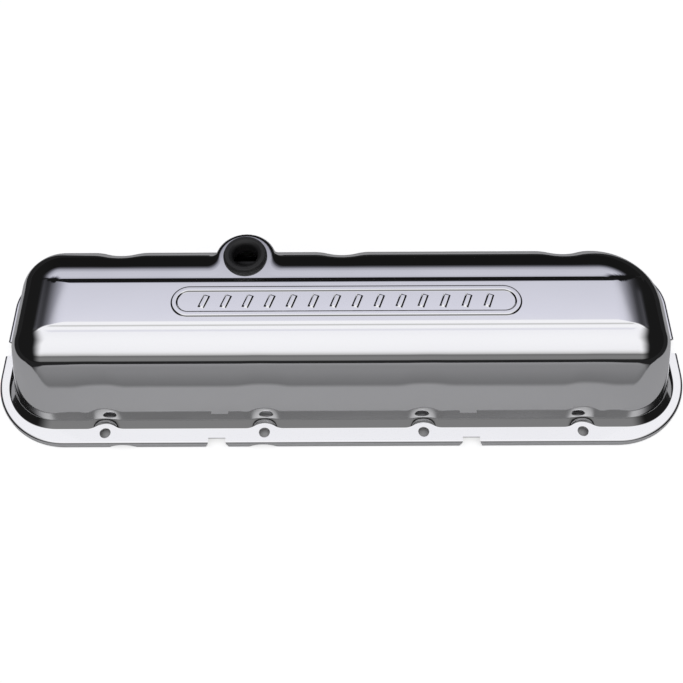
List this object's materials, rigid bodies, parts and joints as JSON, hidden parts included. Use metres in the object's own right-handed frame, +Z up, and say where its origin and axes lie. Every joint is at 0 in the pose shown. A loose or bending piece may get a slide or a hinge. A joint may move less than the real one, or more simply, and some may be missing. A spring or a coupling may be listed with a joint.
{
  "type": "engine valve cover",
  "caption": "Long drawn-steel valve cover with a raised roof panel, fluted drafted walls, a flat bolting flange with a turned-down lip, and a rubber breather grommet in a roof boss.",
  "frame": {"origin": "middle of the plane that the flange lip stands on", "axes": "+X along the cover, +Y across it towards the side with the breather boss, +Z up, away from the engine"},
  "size_m": [0.544, 0.164, 0.0906],
  "materials": {
    "chrome_plate": "polished",
    "rubber": "matt",
    "bare_steel": "satin"
  },
  "bodies": {
    "root": {"cover_shell": "chrome_plate", "breather_grommet": "rubber", "oil_baffle": "bare_steel"}
  },
  "joints": []
}
